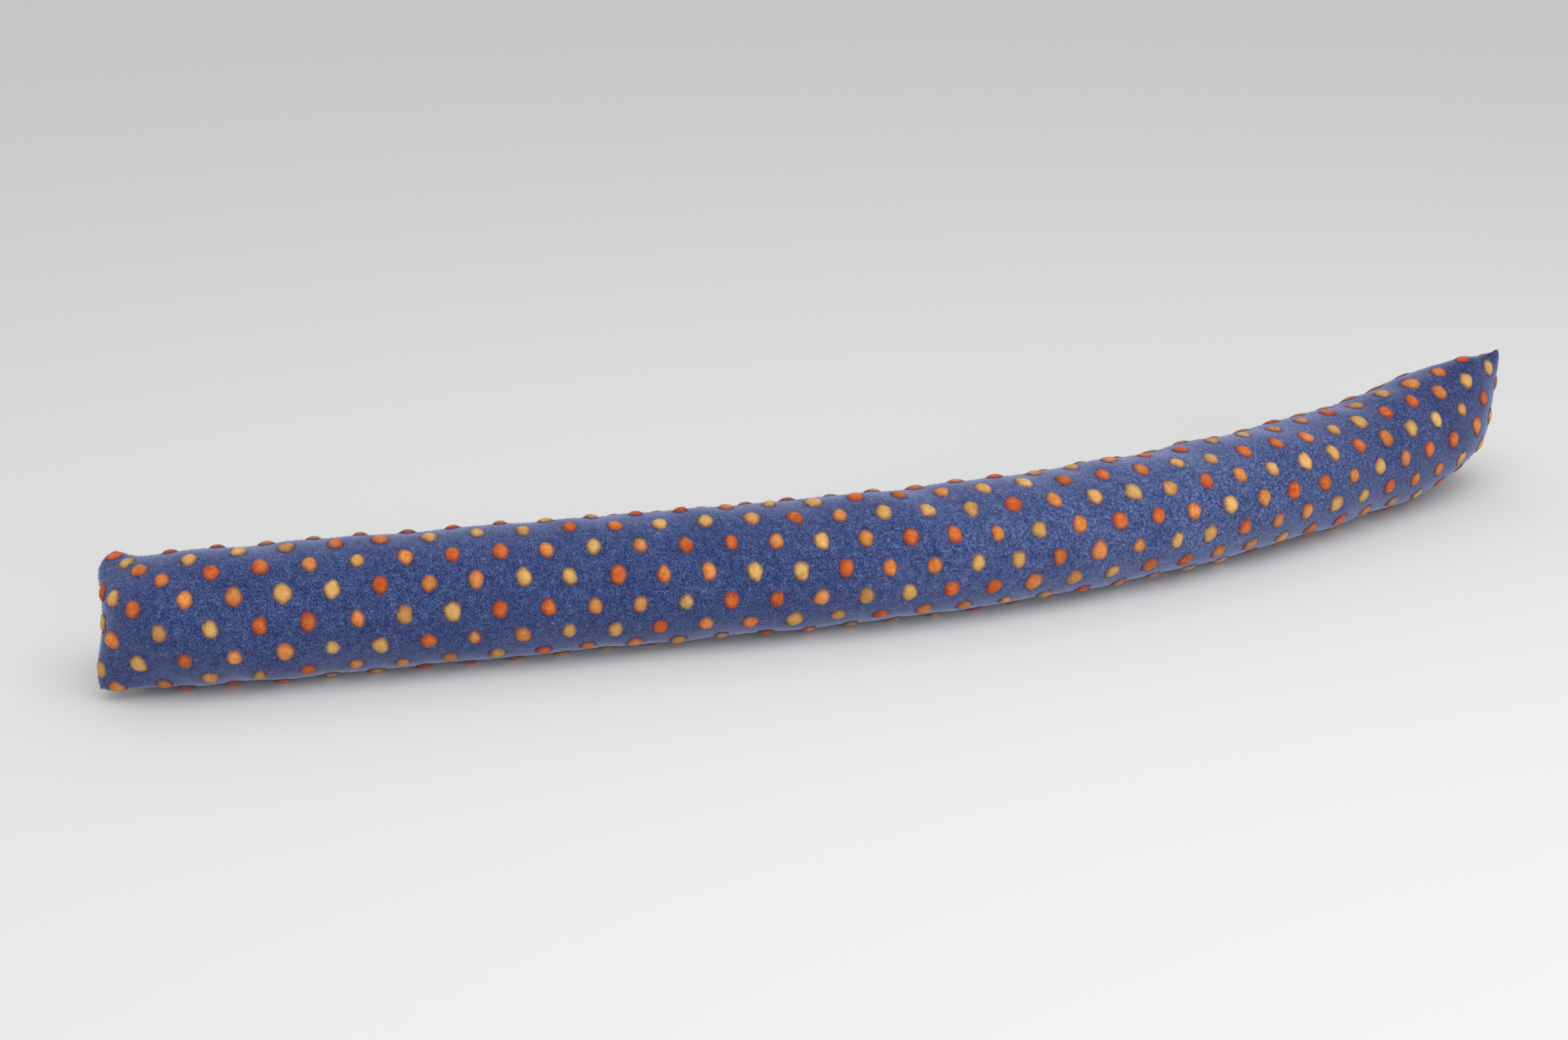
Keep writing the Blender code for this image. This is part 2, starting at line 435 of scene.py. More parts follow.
class Wire:
    """One socket of a material's nodes.  Python's signs on it add Math nodes."""

    def __init__(self, tree, socket=None):
        self.tree = tree
        self.socket = socket

    def node(self, kind, settings=None, inputs=None, output=0):
        """Adds a node: its settings first, then the values or links of its sockets."""
        made = self.tree.nodes.new(kind)
        for name, value in (settings or {}).items():
            if name == "stops":
                ramp = made.color_ramp.elements
                while len(ramp) < len(value):
                    ramp.new(0.5)
                for element, (position, colour) in zip(ramp, value):
                    element.position = position
                    element.color = colour
            else:
                setattr(made, name, value)
        for name, value in (inputs or {}).items():
            if isinstance(value, Wire):
                self.tree.links.new(value.socket, made.inputs[name])
            else:
                made.inputs[name].default_value = value
        return Wire(self.tree, made.outputs[output])

    def maths(self, operation, *values):
        return self.node("ShaderNodeMath", {"operation": operation}, dict(enumerate(values)))

    def __add__(self, other):
        return self.maths("ADD", self, other)

    def __sub__(self, other):
        return self.maths("SUBTRACT", self, other)

    def __rsub__(self, other):
        return self.maths("SUBTRACT", other, self)

    def __mul__(self, other):
        return self.maths("MULTIPLY", self, other)

    def __truediv__(self, other):
        return self.maths("DIVIDE", self, other)

    __radd__ = __add__
    __rmul__ = __mul__

    def between(self, low, high):
        """Smooth step from 0 at low to 1 at high."""
        return self.node("ShaderNodeMapRange", {"interpolation_type": "SMOOTHSTEP"},
                         {"Value": self, "From Min": low, "From Max": high})

    def noise(self, vector, scale=1.0, detail=2.0, roughness=0.5, twist=0.0):
        """Soft noise, mostly 0.3 to 0.7."""
        return self.node("ShaderNodeTexNoise", None,
                         {"Vector": vector, "Scale": scale, "Detail": detail,
                          "Roughness": roughness, "Distortion": twist})

    def vector(self, x, y, z=0.0):
        return self.node("ShaderNodeCombineXYZ", None, {0: x, 1: y, 2: z})

    def blend(self, factor, first, second, way="MIX"):
        """A colour between two colours, or their product for the way MULTIPLY."""
        return self.node("ShaderNodeMix", {"data_type": "RGBA", "blend_type": way},
                         {"Factor": factor, 6: first, 7: second}, 2)

    def surface(self, inputs):
        """A principled shader, joined to the material's output."""
        shader = self.node("ShaderNodeBsdfPrincipled", None, inputs)
        output = self.tree.nodes.new("ShaderNodeOutputMaterial")
        self.tree.links.new(shader.socket, output.inputs["Surface"])


def new_material(name):
    """An empty material and a first wire in it."""
    material = bpy.data.materials.new(name)
    material.use_nodes = True
    material.node_tree.nodes.clear()
    return material, Wire(material.node_tree)


WALE_PITCH = 0.00085  # between the fine ribs of the knit, which run round the tube
# Noises in the felt: their size along the cloth and round it, layer, detail and roughness.
# Heather is spots of violet and teal fibre, sway the bends in the ribs.
MARKS = {
    "fleck": (0.00090, 0.00120, 0.0, 2.0, 0.45), "fibre": (0.00026, 0.0007, 3.0, 1.0, 0.5),
    "mottle": (0.0045, 0.0060, 7.0, 2.0, 0.5), "tuft": (0.0020, 0.0022, 2.0, 1.0, 0.5),
    "broad": (0.035, 0.030, 1.0, 1.0, 0.5), "sway": (0.004, 0.006, 5.0, 1.0, 0.5),
    "heather": (0.0017, 0.0017, 11.0, 1.0, 0.5),
}
NAP_SIZE = (0.00100, 0.0020)  # of the combed streaks, across them and along them
NAP_SLANT = 33.0  # of those streaks, from the way of the ribs
COMBED_FROM = (0.50, 0.95)  # where the nap turns from flecks to streaks, in metres
PAINTED_LIGHT_FROM = (0.35, 0.60)  # where painted light makes the cloth lighter, and then painted shade makes it darker again
PAINTED_SHADE_FROM = (0.68, 1.00)
# How much each kind of mark, and the painted light and shade along the cloth, counts
# in the height of the felt and in its lightness.
FELT_HEIGHT = {"streak": 1.4, "fibre": 0.2, "tuft": 1.0, "rib": 0.18}
FELT_LIGHT = {"streak": 1.52, "fibre": 0.10, "mottle": 0.7, "tuft": 1.0, "rib": 0.11,
              "broad": 0.25, "lighter": 0.13, "darker": -0.30}
HEATHER = 0.25  # how far a spot of heather turns the blue
HEATHER_SPOTS = (0.52, 0.74)
NAVY = tone(10, 22, 65)
TEAL = tone(50, 84, 126)
VIOLET = tone(86, 78, 136)
BLUES = ((0.0, NAVY), (0.30, tone(27, 42, 88)), (0.55, tone(49, 64, 109)),
         (0.82, tone(79, 93, 136)), (1.0, tone(107, 118, 156)))  # from dark to light
CLOTH_SHEEN = 1.0
CLOTH_DEPTH = 0.00022  # of the felt's bumps
SHEEN_TINT = tone(202, 209, 248)


def felt_parts(wire):
    """Colour and height of the fulled knit.  Flecks are noise drawn out round the tube,
    ribs a sine along it, mottling a broad noise, and the combed nap noise drawn out on a
    slant, stronger towards the +X end."""
    spot = wire.node("ShaderNodeUVMap", {"uv_map": "cloth"})
    along = wire.node("ShaderNodeSeparateXYZ", None, {0: spot})
    about = Wire(wire.tree, along.socket.node.outputs[1])
    noise = {}
    for name, (long, wide, layer, detail, roughness) in MARKS.items():
        at = wire.vector(along / long, about / wide, layer)
        noise[name] = wire.noise(at, 1.0, detail, roughness)
    turn = math.radians(NAP_SLANT)
    drawn = about * math.cos(turn) - along * math.sin(turn)
    square = about * math.sin(turn) + along * math.cos(turn)
    combing = wire.vector(square / NAP_SIZE[0], drawn / NAP_SIZE[1], 9.0)
    nap = wire.noise(combing, 1.0, 2.0, 0.45, 0.3)
    rib = wire.maths("SINE", along * (2 * math.pi / WALE_PITCH) + noise["sway"] * 4.0)
    combed = (along + noise["broad"] * 0.3).between(*COMBED_FROM)
    part = {name: noise[name] - 0.5 for name in ("fibre", "mottle", "broad")}
    part["streak"] = (nap - 0.5) * combed * 0.9 + (noise["fleck"] - 0.5) * (1.0 - combed * 0.65)
    part["tuft"] = (noise["tuft"] - 0.5) * (combed * 0.35 + 0.65)
    part["rib"] = rib * (1.0 - combed * 0.7)
    # Painted light on a band midway along the cloth, and painted shade towards the +X end.
    part["lighter"], part["darker"] = along.between(*PAINTED_LIGHT_FROM), along.between(*PAINTED_SHADE_FROM)
    height = sum((part[name] * share for name, share in FELT_HEIGHT.items()), 0.0)
    light = sum((part[name] * share for name, share in FELT_LIGHT.items()), 0.5)
    colour = wire.node("ShaderNodeValToRGB", {"stops": BLUES}, {"Fac": light})
    heather = noise["heather"]
    colour = wire.blend(heather.between(*HEATHER_SPOTS) * HEATHER, colour, VIOLET)
    colour = wire.blend((1.0 - heather).between(*HEATHER_SPOTS) * HEATHER, colour, TEAL)
    return colour, height


def finish_felt(wire, colour, height, depth, sheen):
    """Matt felt: the colour, a bump of the height, and a constant sheen for its nap."""
    bump = wire.node("ShaderNodeBump", None,
                     {"Strength": 0.7, "Distance": depth, "Height": height})
    wire.surface({"Base Color": colour, "Roughness": 0.95, "Specular IOR Level": 0.15,
                  "Normal": bump, "Sheen Weight": sheen, "Sheen Roughness": 0.42,
                  "Sheen Tint": SHEEN_TINT})


cover_felt, cover_wire = new_material("fulled_blue_wool")
finish_felt(cover_wire, *felt_parts(cover_wire), CLOTH_DEPTH, CLOTH_SHEEN)
cover.data.materials.append(cover_felt)

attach(cover, "root")
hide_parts("filled_cover")

# --- The felt dots
# Small pads of orange and yellow wool, worked into the knit before it is fulled.  They
# stand in skewed rows, and their colours repeat every five dots.  Felting leaves each a
# little out of round, its rim lost in the blue.
DOT_PITCH = 0.02775  # between dots of a row, along the tube
ROW_TURN = 25.44  # between rows, in degrees round the cloth
ROW_SHIFT = 0.0513  # how far each row falls behind the last, in pitches
FIRST_DOT = 0.010275  # place of the first dot of the middle row
MIDDLE_ROW = 3
MIDDLE_ROW_ANGLE = -91.4
END_SLACK = 0.007  # cloth that the rounding of each end takes up
SLACK_REACH = 0.010  # how far in from the seam that shifts the dots
DOT_COUNTS = range(-2, 40)  # more than fit in a row
END_MARGIN = 0.001  # no dot's middle is nearer to an end seam
END_CLOTH_MARGIN = 0.003  # nor nearer, measured on the cloth, where one more is added
LAST_DOT_MARGIN = 0.0080  # and how far from the seam it is laid at least
DOT_ROWS = {  # Y yellow, A amber, O orange, R red-orange, from the -X end
    -4: "RYOAO", -3: "OARYY", -2: "YOORA", -1: "AYOOR", 0: "YRROY", 1: "OYYAR", 2: "YORRO",
    3: "ROOYY", 4: "OAYRR", 5: "YROOY", 6: "OOAAR", 7: "YRROA", 8: "OYARO", 9: "RAOYR",
}
# Where the making pulls the rows aside: place, row, reach in both, and mm onward and upward.
DOT_SHIFTS = (
    (0, 2.8, 0.03, 1.8, -4.2, 0), (0, 3.4, 0.055, 1.1, 0, 6.7), (0, 5.6, 0.04, 0.8, 1.8, 0),
    (0.002, -1, 0.012, 0.5, 0.5, -5.7), (0, 1, 0.012, 0.5, 1.1, -6.5),
    (0.055, 1, 0.02, 0.6, 0, -5.5), (0.034, 6, 0.015, 0.5, 1, -5),
    (0.015, 0, 0.012, 0.5, 2, -3.5), (1, -1.2, 0.045, 1, -5.5, 0),
    (0.9, 1.8, 0.055, 2.4, -3.2, 0), (0.955, 2.3, 0.025, 0.9, 3, 4.5),
    (0.935, -0.8, 0.045, 1.2, -4.5, -7),
)
DOT_LETTERS = "YAOR"
DOT_COLOURS = {  # main fibre, then the fibre that is mixed in
    "Y": (tone(209, 175, 112), tone(195, 146, 79)),
    "A": (tone(192, 162, 104), tone(187, 124, 65)),
    "O": (tone(206, 103, 36), tone(200, 139, 80)),
    "R": (tone(191, 69, 23), tone(195, 111, 54)),
}
DOT_LONG = 0.0045  # half its size along the tube
DOT_ROUND = 0.0053  # and round it
DOT_SCALE = (0.95, 0.97)  # of those sizes at the -X end
DOT_GROWTH = (0.15, 0.04)  # how much larger they are on the +X half, along and round
DOT_GROWING = (0.25, 0.75)  # where they grow, in parts of the length
WIDE_DOT = 0.45  # how much wider the dot halfway up the -X seam is
WIDE_DOT_SPOT = (0.0075, -1.95)  # its place and angle
WIDE_DOT_REACH = (0.004, 0.25)
DOT_HEIGHT = 0.0022
DOT_SINKING = 0.30  # how much flatter they are on the +X half
DOT_SINKS = (0.4, 0.9)  # where they sink, in parts of the length
DOT_WANDER = (0.00035, 0.0004)  # spread of their places, along and round
DOT_SPREADS = (0.07, 0.09, 0.08)  # of their sizes, heights and shades
DOT_MOST_MIXED = 0.5  # largest share of the second fibre in its colours
DOT_CORNERS = ((2, 0.046), (3, 0.042), (4, 0.038), (5, 0.032))  # how many, and how large
DOT_LUMPS = ((0.10, 1, 1, 0), (0.07, 2, 3, 1), (0.05, 2, 5, 4))  # height, power, waves, start
EGG = (0.06, 0.05)  # how much a dot narrows to one side: the mean and its spread
MOST_EGG = 0.2
EGG_WAY = (-65.0, 32.0)  # to which side: the same, in degrees
DOT_SPOKES = 20
DOT_RINGS = np.array([0.26, 0.48, 0.68, 0.85, 1.00, 1.12, 1.22, 1.34])
DOT_EDGE = 1.23  # part of its size at which the pad meets the cloth
DOT_TUCK = 0.00012  # how far under the cloth its outermost ring lies
DOT_CLEARANCE = 0.0002  # off the floor
SEWN_IN = (0.0006, 0.0045)  # nearer an end seam than this a dot is flatter
LEAST_SEWN = 0.30  # part of its height that is left there
FLAT_AT_FOLD = 0.75  # and how much of it goes where the cloth folds at a seam
FOLD_REACH = 0.014
BESIDE_SEAM = 0.004  # nearer an end seam than this a dot rises as the cloth faces here
WALK_STEPS = 7
WALK_SLOPE = 0.0010  # over which the walk's slopes are taken
LONGEST_STRIDE = (0.003, 0.15)  # of one step, in metres along and radians round


def lattice():
    """Place, angle and colour letter of every dot: a skewed grid of rows and columns, with
    odd rows half a pitch on, and one more dot at each end of a row where the cloth turned
    in to the seam has room for it."""
    dots = []
    for row, letters in DOT_ROWS.items():
        first = 0.5 if row % 2 else 0.0
        row_dots = []
        for count in DOT_COUNTS:
            shift = count + first - ROW_SHIFT * (row - MIDDLE_ROW)
            spot = FIRST_DOT + DOT_PITCH * shift
            first_slack = END_SLACK * math.exp(-abs(spot + END_SLACK) / SLACK_REACH)
            last_slack = END_SLACK * math.exp(-abs(LENGTH + END_SLACK - spot) / SLACK_REACH)
            place = spot + first_slack - last_slack
            round_shift = 0.0
            for middle, middle_row, long, rows, onward, upward in DOT_SHIFTS:
                share = ((spot - middle) / long) ** 2 + ((row - middle_row) / rows) ** 2
                place = place + 0.001 * onward * math.exp(-share)
                round_shift = round_shift + 0.001 * upward * math.exp(-share)
            if END_MARGIN < place < LENGTH - END_MARGIN:
                turn = math.radians(MIDDLE_ROW_ANGLE - ROW_TURN * (row - MIDDLE_ROW))
                turn = turn + round_shift / RADIUS
                row_dots.append((place, turn, count))
        for way, distances, outer in ((-1, first_cloth, row_dots[0]),
                                      (1, last_cloth, row_dots[-1])):
            place, turn, count = outer
            column = round(turn / (2 * math.pi) * END_COLUMNS) % END_COLUMNS
            from_end = place if way < 0 else LENGTH - place
            here = np.interp(from_end, end_places, distances[:, column])
            if here - DOT_PITCH > END_CLOTH_MARGIN:
                there = max(here - DOT_PITCH, LAST_DOT_MARGIN)
                there = np.interp(there, distances[:, column], end_places)
                row_dots.append((there if way < 0 else LENGTH - there, turn, count + way))
        for place, turn, count in row_dots:
            dots.append((place, turn, DOT_LETTERS.index(letters[count % len(letters)])))
    return np.array(dots)


dots = lattice()
dot_count = len(dots)
dot_place, dot_turn, dot_letter = dots[:, 0], dots[:, 1], dots[:, 2].astype(int)
chance = np.random.default_rng(23)
dot_place = dot_place + chance.normal(0.0, DOT_WANDER[0], dot_count)
dot_turn = dot_turn + chance.normal(0.0, DOT_WANDER[1], dot_count) / RADIUS
dot_size = chance.normal(1.0, DOT_SPREADS[0], (dot_count, 1, 1))
dot_rise = DOT_HEIGHT * chance.normal(1.0, DOT_SPREADS[1], (dot_count, 1, 1))
dot_sunk = rising(dot_place[:, None, None] / LENGTH, *DOT_SINKS)
dot_rise = dot_rise * (1.0 - DOT_SINKING * dot_sunk)
egg = np.clip(chance.normal(*EGG, (dot_count, 1, 1)), 0.0, MOST_EGG)
egg_way = np.radians(EGG_WAY[0] + chance.normal(0.0, EGG_WAY[1], (dot_count, 1, 1)))
spoke = np.linspace(0.0, 2 * np.pi, DOT_SPOKES, endpoint=False)[None, None, :]
wave_start = chance.uniform(0.0, 2 * np.pi, (6, dot_count, 1, 1))
wave_size = chance.uniform(0.4, 1.0, (6, dot_count, 1, 1))
ring = DOT_RINGS[None, :, None]


def half_sizes(place):
    """Half a dot's size along and round the tube, larger towards the +X end."""
    grown = rising(place / LENGTH, *DOT_GROWING)
    return (DOT_LONG * (DOT_SCALE[0] + DOT_GROWTH[0] * grown),
            DOT_ROUND * (DOT_SCALE[1] + DOT_GROWTH[1] * grown))


def pad_outline():
    """Offsets along and round the tube: an ellipse with two to five slight corners, each
    ring in proportion, narrowed towards one side as an egg is."""
    edge = dot_size
    for number, height in DOT_CORNERS:
        edge = edge + height * wave_size[number] * np.cos(number * spoke + wave_start[number])
    along = ring * edge * np.cos(spoke)
    about = ring * edge * np.sin(spoke)
    toward = along * np.cos(egg_way) + about * np.sin(egg_way)
    aside = about * np.cos(egg_way) - along * np.sin(egg_way)
    aside = aside * (1.0 - egg * toward)
    toward = toward * (1.0 + 0.5 * egg)
    along = toward * np.cos(egg_way) - aside * np.sin(egg_way)
    about = toward * np.sin(egg_way) + aside * np.cos(egg_way)
    half_long, half_round = half_sizes(dot_place[:, None, None])
    off_place = (dot_place - WIDE_DOT_SPOT[0]) / WIDE_DOT_REACH[0]
    off_turn = (dot_turn - WIDE_DOT_SPOT[1]) / WIDE_DOT_REACH[1]
    wide = 1.0 + WIDE_DOT * np.exp(-off_place ** 2 - off_turn ** 2)
    return along * half_long * wide[:, None, None], about * half_round


def crown(part):
    """Height over the cloth at a part of the way out from a dot's middle: a power curve
    that is flat in the middle and steep at the edge."""
    return (1.0 - np.clip(part / DOT_EDGE, 0.0, 1.0) ** 2.5) ** 1.25


def pad_height():
    """The crown with a few lumps, and just under the cloth beyond the edge."""
    lumps = 0.0
    for number, (height, power, corners, start) in enumerate(DOT_LUMPS):
        wave = np.cos(corners * spoke + wave_start[start])
        lumps = lumps + height * ring ** power * wave_size[number] * wave
    return dot_rise * crown(ring) * (1.0 + lumps) - DOT_TUCK * (ring > DOT_EDGE)


def walk(place, angle, along, about):
    """Place and angle reached from a spot by going metres along and round the cloth.  The
    way is cut into short steps.  Each is laid flat on the form where it starts and solved
    for place and angle from the form's two slopes there, and it ends at an end seam."""
    shape = np.broadcast(place, along).shape
    place = np.broadcast_to(place, shape).copy()
    angle = np.broadcast_to(angle, shape).copy()
    step, wise = WALK_SLOPE, WALK_SLOPE / RADIUS
    stride, swing = LONGEST_STRIDE
    limit = (step + LEAST_STEP, LENGTH - step - LEAST_STEP)
    going = None
    for _ in range(WALK_STEPS):
        at = np.clip(place, *limit)
        lengthwise = (form(at + step, angle) - form(at - step, angle)) / (2 * step)
        crosswise = (form(at, angle + wise) - form(at, angle - wise)) / (2 * wise)
        crossing = unit(crosswise)
        normal = unit(np.cross(lengthwise, crosswise))
        if going is None:
            running = np.cross(crossing, normal)
            going = (running * along[..., None] + crossing * about[..., None]) / WALK_STEPS
            size = np.linalg.norm(going, axis=-1, keepdims=True)
        going = going - normal * (going * normal).sum(-1, keepdims=True)
        going = unit(going) * size
        aa = (lengthwise * lengthwise).sum(-1)
        ab = (lengthwise * crosswise).sum(-1)
        bb = (crosswise * crosswise).sum(-1)
        ga = (going * lengthwise).sum(-1)
        gb = (going * crosswise).sum(-1)
        whole = np.maximum(aa * bb - ab * ab, 1e-12)
        onward = np.clip((ga * bb - gb * ab) / whole, -stride, stride)
        place = np.clip(place + onward, *limit)
        angle = angle + np.clip((gb * aa - ga * ab) / whole, -swing, swing)
    return place, angle


def by_the_seam(place, angle):
    """Part of a dot's height that is left near an end seam, where it is sewn in, and least
    at the two folds of the cloth."""
    from_end = from_seam_on_cloth(place, angle)
    at_fold = np.cos(angle - np.radians(by_end(place, *SEAM_FOLDS))) ** 8
    at_fold = at_fold * np.exp(-((from_end / FOLD_REACH) ** 2))
    left = LEAST_SEWN + (1.0 - LEAST_SEWN) * rising(from_end, *SEWN_IN)
    return left * (1.0 - FLAT_AT_FOLD * at_fold)


def raised_point(place, angle, rise):
    """A point at a height over the cloth, less near the seams, as the cloth faces there."""
    beside = np.clip(place, BESIDE_SEAM, LENGTH - BESIDE_SEAM)
    rise = rise * by_the_seam(place, angle)
    return cloth(place, angle) + outward(cloth, beside, angle) * rise[..., None]


def with_middle(middle, rings):
    """A value at a dot's middle, then at the points of its rings, one row a dot."""
    return np.concatenate([middle.reshape(dot_count, 1), rings.reshape(dot_count, -1)], 1)


pad_place, pad_angle = walk(dot_place[:, None, None], dot_turn[:, None, None], *pad_outline())
pad_place, pad_angle = with_middle(dot_place, pad_place), with_middle(dot_turn, pad_angle)
dot_points = raised_point(pad_place, pad_angle, with_middle(dot_rise, pad_height()))
dot_points[..., 2] = np.maximum(dot_points[..., 2], DOT_CLEARANCE)
points_each = dot_points.shape[1]
spoke_number = np.arange(DOT_SPOKES)
next_spoke = (spoke_number + 1) % DOT_SPOKES
fan = np.stack([np.zeros(DOT_SPOKES, int), 1 + spoke_number, 1 + next_spoke], -1)
ring_start = 1 + DOT_SPOKES * np.arange(len(DOT_RINGS) - 1)[:, None]
inner_now, inner_next = ring_start + spoke_number, ring_start + next_spoke
outer_now, outer_next = inner_now + DOT_SPOKES, inner_next + DOT_SPOKES
first_halves = np.stack([inner_now, outer_now, outer_next], -1).reshape(-1, 3)
other_halves = np.stack([inner_now, outer_next, inner_next], -1).reshape(-1, 3)
dot_triangles = np.concatenate([fan, first_halves, other_halves])
dot_faces = (dot_triangles[None] + points_each * np.arange(dot_count)[:, None, None])
dot_faces = dot_faces.reshape(-1, 3)
felt_dots = mesh_object("felt_dots", dot_points.reshape(-1, 3), dot_faces, 3)

round_cloth = (pad_angle - math.radians(SEAM_PLACE)) % (2 * np.pi) * RADIUS
dot_map = np.stack([cloth_place(pad_place, pad_angle), round_cloth], -1).reshape(-1, 2)
add_map(felt_dots, dot_map[dot_faces.ravel()])
rim = np.concatenate([[0.0], np.repeat(DOT_RINGS, DOT_SPOKES)])
rim_values = felt_dots.data.attributes.new("rim", "FLOAT", "POINT")
rim_values.data.foreach_set("value", np.tile(rim, dot_count).astype(np.float32))
fibre_colours = np.array([DOT_COLOURS[letter] for letter in DOT_LETTERS])[dot_letter]
dot_shade = chance.normal(1.0, DOT_SPREADS[2], (dot_count, 1)).clip(0.84, 1.16)
dot_mix = chance.uniform(0.0, DOT_MOST_MIXED, (dot_count, 1))
fibre_colours[:, 0] = fibre_colours[:, 0] * (1.0 - dot_mix) + fibre_colours[:, 1] * dot_mix
for number, name in enumerate(("main_fibre", "mixed_fibre")):
    shades = fibre_colours[:, number].copy()
    shades[:, :3] *= dot_shade
    layer = felt_dots.data.attributes.new(name, "FLOAT_COLOR", "POINT")
    layer.data.foreach_set("color", np.repeat(shades, points_each, 0).astype(np.float32).ravel())


WHITE = (1.0, 1.0, 1.0, 1.0)
SHADOW_TINT = (0.66, 0.56, 0.50, 1.0)  # between a dot's fibres
RIM_SHADE_TINT = (0.52, 0.42, 0.40, 1.0)  # painted shade round a dot's rim, where its wool meets the blue
STIR_SCALE = 210.0  # of the swirls of its two fibres, per metre
TANGLE_SCALE = 900.0  # and of single tufts
DOT_DEPTH = 0.00035  # of its bumps
DOT_SHEEN = 0.15


def dot_parts(wire):
    """Colour and height of a dot: two fibres stirred together by twisted noise, with painted
    shade between them and darker painted shade towards a ragged rim, beyond which the blue
    felt takes over under a ring of painted shade."""
    blue, blue_height = felt_parts(wire)
    spot = wire.node("ShaderNodeTexCoord", None, None, 3)
    main = wire.node("ShaderNodeAttribute", {"attribute_name": "main_fibre"})
    mixed = wire.node("ShaderNodeAttribute", {"attribute_name": "mixed_fibre"})
    rim_part = wire.node("ShaderNodeAttribute", {"attribute_name": "rim"}, None, 2)
    stirred = wire.noise(spot, STIR_SCALE, 3.0, 0.5, 0.6)
    tangle = wire.noise(spot, TANGLE_SCALE, 2.0, 0.5, 0.4)
    share = (stirred * 0.8 + tangle * 0.2).between(0.37, 0.63)
    wool = wire.blend(share, main, mixed)
    shadow = (stirred * 0.2 + tangle * 0.8 - rim_part * 0.12).between(0.13, 0.54)
    wool = wire.blend(shadow, wire.blend(1.0, wool, SHADOW_TINT, "MULTIPLY"), wool)
    ragged = rim_part + (tangle - 0.5) * 0.55 + (stirred - 0.5) * 0.30
    covered = 1.0 - ragged.between(0.80, 1.30)
    # Painted shade: the wool darkens towards its rim.
    rim_shade = wire.blend(ragged.between(0.50, 1.15) * 0.8, WHITE, RIM_SHADE_TINT)
    rim_shaded_wool = wire.blend(1.0, wool, rim_shade, "MULTIPLY")
    # A ring of painted shade on the blue just outside the rim, darkened towards navy.
    ring_shade = ragged.between(0.85, 1.10) - ragged.between(1.12, 1.33)
    colour = wire.blend(covered, wire.blend(ring_shade * 0.22, blue, NAVY), rim_shaded_wool)
    height = (stirred * 1.6 + tangle * 1.1) * covered + blue_height * (1.0 - covered)
    return colour, height


dot_felt, dot_wire = new_material("felted_orange_and_yellow_wool")
finish_felt(dot_wire, *dot_parts(dot_wire), DOT_DEPTH, DOT_SHEEN)
felt_dots.data.materials.append(dot_felt)
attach(felt_dots, "root")

# --- The nap
# Fulling raises loose ends of blue wool over the whole cloth.  They lie combed round the
# tube on one half and slantwise on the other, and make its soft pale outline, partly by
# painted light: where the cloth faces up they are given paler wools.
NAP_FIBRES = 48000  # on each half of the cover
# Degrees off the cloth, shortest length and how much more, and thickness in the next.
NAP = {"lift": (10.0, 60.0), "long": (0.0009, 0.0012), "thick": (0.7, 1.2)}
FIBRE_THICK = 0.00008
FIBRE_CLEARANCE = 0.0001  # off the floor
NAP_SPREAD = 0.8  # of its ways along the cloth, in radians
NAP_DOWN = 0.75  # share that lies one way rather than the other
NAP_ROOT = -0.00006  # height of a root over the cloth
NAP_TURNS = (0.45, 0.85)  # where the nap turns slantwise, in parts of the length
PAINTED_LIGHT_KINDS = ((0.35, 0.95), (0.70, 1.20))  # painted light: how far up the cloth faces where fibres are made paler
SLOPE_MARGIN = 0.0006  # no slope for a fibre is taken nearer to an end seam
CROSSWISE = np.array([0.31, 0.17, 0.93])  # a way that hardly any fibre has
NAP_COLOURS = (tone(54, 68, 112), tone(64, 78, 122), tone(78, 91, 135), tone(100, 112, 154),
               tone(146, 154, 192))
NAP_SHARES = (0.22, 0.45, 0.28, 0.05)


def spikes(name, root, way, thick):
    """Closed three-sided spikes: three corners round each root, square to the way the
    fibre grows, joined to a tip at root plus way."""
    ahead = unit(way)
    side = unit(np.cross(ahead, CROSSWISE))
    other = np.cross(ahead, side)
    corners = []
    for turn in (0.0, 2 * np.pi / 3, 4 * np.pi / 3):
        corners.append(root + thick[:, None] * (math.cos(turn) * side + math.sin(turn) * other))
    points = np.stack([*corners, root + way], 1)
    points[..., 2] = np.maximum(points[..., 2], FIBRE_CLEARANCE)
    shape = np.array([[0, 1, 3], [1, 2, 3], [2, 0, 3], [0, 2, 1]])
    faces = shape[None] + 4 * np.arange(len(root))[:, None, None]
    return mesh_object(name, points.reshape(-1, 3), faces.reshape(-1, 3), 3)


def plain_wool(name, colour):
    """The finish of one loose fibre: a single constant colour, too thin for a pattern."""
    material, wire = new_material(name)
    wire.surface({"Base Color": colour, "Roughness": 0.8, "Specular IOR Level": 0.2,
                  "Sheen Weight": 1.0, "Sheen Tint": SHEEN_TINT})
    return material


def directions(place, angle):
    """Unit ways along the cloth, round it and off it."""
    off = outward(cloth, place, angle)
    turn = SLOPE_STEP / RADIUS
    inner = np.clip(place, SLOPE_MARGIN, LENGTH - SLOPE_MARGIN)
    about = unit(form(inner, angle + turn) - form(inner, angle - turn))
    return np.cross(about, off), about, off


def on_a_dot(place, angle):
    """True where a spot lies on a dot, worked out in blocks to spare memory."""
    hit = np.zeros(len(place), bool)
    for block in np.array_split(np.arange(len(place)), 24):
        along = (place[block, None] - dot_place[None]) / DOT_LONG
        apart = (angle[block, None] - dot_turn[None] + np.pi) % (2 * np.pi) - np.pi
        about = apart * RADIUS / DOT_ROUND
        hit[block] = (along ** 2 + about ** 2 < 1.0).any(axis=1)
    return hit


